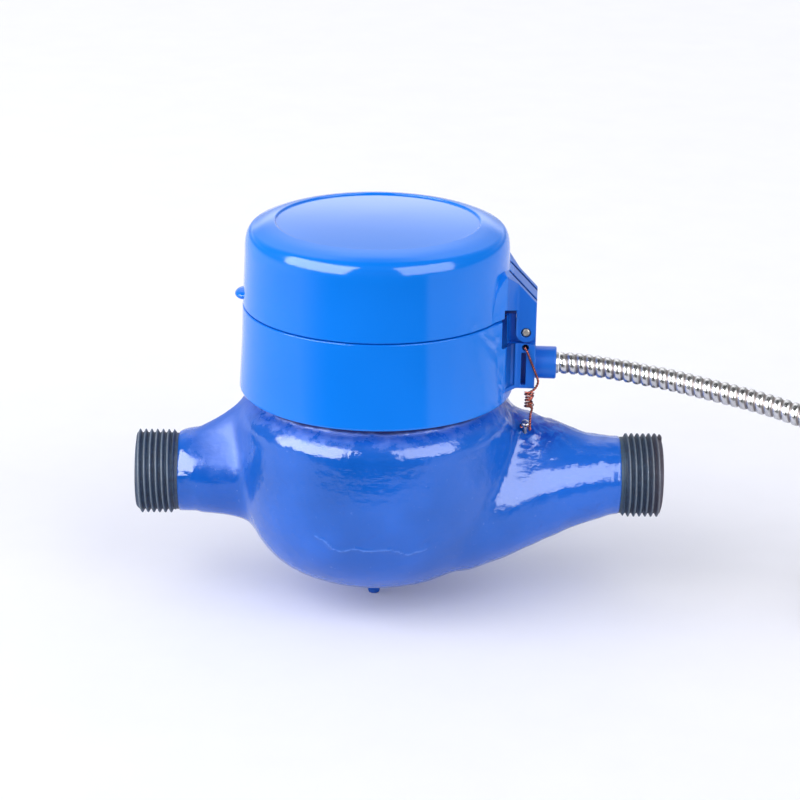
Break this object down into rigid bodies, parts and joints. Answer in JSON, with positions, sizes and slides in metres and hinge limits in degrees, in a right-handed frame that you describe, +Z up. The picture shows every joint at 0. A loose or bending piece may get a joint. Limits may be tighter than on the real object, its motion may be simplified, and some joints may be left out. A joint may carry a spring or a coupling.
{
  "type": "water meter",
  "caption": "In-line water meter with a cast body, threaded pipe ends, a hinged lid over a geared register and a wired readout in metal conduit.",
  "frame": {"origin": "where the axis of the pipe crosses the axis of the register", "axes": "+X along the pipe towards the inlet end, +Z up towards the lid, -Y the side that the picture shows"},
  "size_m": [0.3122, 0.1158, 0.1224],
  "materials": {
    "body_enamel": "glossy enamel",
    "housing_plastic": "glossy",
    "black_plastic": "matte",
    "white_plastic": "matte",
    "red_plastic": "matte",
    "brass": "machined",
    "steel": "brushed",
    "magnet_ferrite": "dull",
    "seal_rubber": "matte",
    "seal_copper": "drawn wire",
    "board_green": "satin",
    "lead_sheath": "matte",
    "glass": "clear"
  },
  "bodies": {
    "meter": {"meter_body": "body_enamel", "sealing_screw": "steel", "inlet_strainer": "white_plastic", "measuring_chamber": "black_plastic", "pivot_pin": "steel", "chamber_cover": "black_plastic", "pressure_gasket": "seal_rubber", "pressure_plate": "brass", "head_ring": "brass", "register_case": "black_plastic", "movement_plate": "white_plastic", "number_shaft": "steel", "reading_board": "board_green", "dial_plate": "white_plastic", "register_glass": "glass", "register_bezel": "black_plastic", "housing_ring": "housing_plastic", "hinge_pin": "steel", "entry_ferrule": "steel", "signal_lead": "lead_sheath", "conduit": "steel", "conduit_coil": "steel", "end_sleeve": "steel", "lead_tail": "lead_sheath", "seal_wire": "seal_copper"},
    "lid": {"lid": "housing_plastic"},
    "impeller": {"impeller": "white_plastic", "drive_magnet": "magnet_ferrite"},
    "drive": {"drive_spindle": "steel", "follower_magnet": "magnet_ferrite", "flow_star": "red_plastic"},
    "reduction": {"reduction_gear": "white_plastic"},
    "pointer": {"pointer_gear": "white_plastic", "litre_pointer": "red_plastic"},
    "digit_1": {"number_wheel_1": "white_plastic"},
    "digit_2": {"number_wheel_2": "white_plastic"},
    "digit_3": {"number_wheel_3": "white_plastic"},
    "digit_4": {"number_wheel_4": "white_plastic"},
    "digit_5": {"number_wheel_5": "white_plastic"}
  },
  "joints": [
    {"name": "lid_hinge", "type": "hinge", "parent": "meter", "child": "lid", "pos_m": [0.04604, -0.00322, 0.05085], "axis": [0.0698, 0.9976, 0], "range_deg": [0, 95]},
    {"name": "impeller_spin", "type": "hinge", "parent": "meter", "child": "impeller", "pos_m": [0, 0, -0.01], "axis": [0, 0, 1], "continuous": true},
    {"name": "drive_spin", "type": "hinge", "parent": "meter", "child": "drive", "pos_m": [0, 0, 0.037], "axis": [0, 0, 1], "continuous": true},
    {"name": "reduction_spin", "type": "hinge", "parent": "meter", "child": "reduction", "pos_m": [0.00897, -0.00326, 0.038], "axis": [0, 0, 1], "continuous": true},
    {"name": "pointer_spin", "type": "hinge", "parent": "meter", "child": "pointer", "pos_m": [0.0057, -0.01223, 0.04], "axis": [0, 0, 1], "continuous": true},
    {"name": "digit_1_spin", "type": "hinge", "parent": "meter", "child": "digit_1", "pos_m": [0, 0.008, 0.0451], "axis": [1, 0, 0], "continuous": true},
    {"name": "digit_2_spin", "type": "hinge", "parent": "meter", "child": "digit_2", "pos_m": [0, 0.008, 0.0451], "axis": [1, 0, 0], "continuous": true},
    {"name": "digit_3_spin", "type": "hinge", "parent": "meter", "child": "digit_3", "pos_m": [0, 0.008, 0.0451], "axis": [1, 0, 0], "continuous": true},
    {"name": "digit_4_spin", "type": "hinge", "parent": "meter", "child": "digit_4", "pos_m": [0, 0.008, 0.0451], "axis": [1, 0, 0], "continuous": true},
    {"name": "digit_5_spin", "type": "hinge", "parent": "meter", "child": "digit_5", "pos_m": [0, 0.008, 0.0451], "axis": [1, 0, 0], "continuous": true}
  ],
  "couplings": [
    {"joint": "drive_spin", "follows": "impeller_spin", "ratio": 1},
    {"joint": "reduction_spin", "follows": "impeller_spin", "ratio": -0.2},
    {"joint": "pointer_spin", "follows": "impeller_spin", "ratio": 0.04},
    {"joint": "digit_1_spin", "follows": "impeller_spin", "ratio": 0.0000000004},
    {"joint": "digit_2_spin", "follows": "impeller_spin", "ratio": 0.000000004},
    {"joint": "digit_3_spin", "follows": "impeller_spin", "ratio": 0.00000004},
    {"joint": "digit_4_spin", "follows": "impeller_spin", "ratio": 0.0000004},
    {"joint": "digit_5_spin", "follows": "impeller_spin", "ratio": 0.000004}
  ]
}
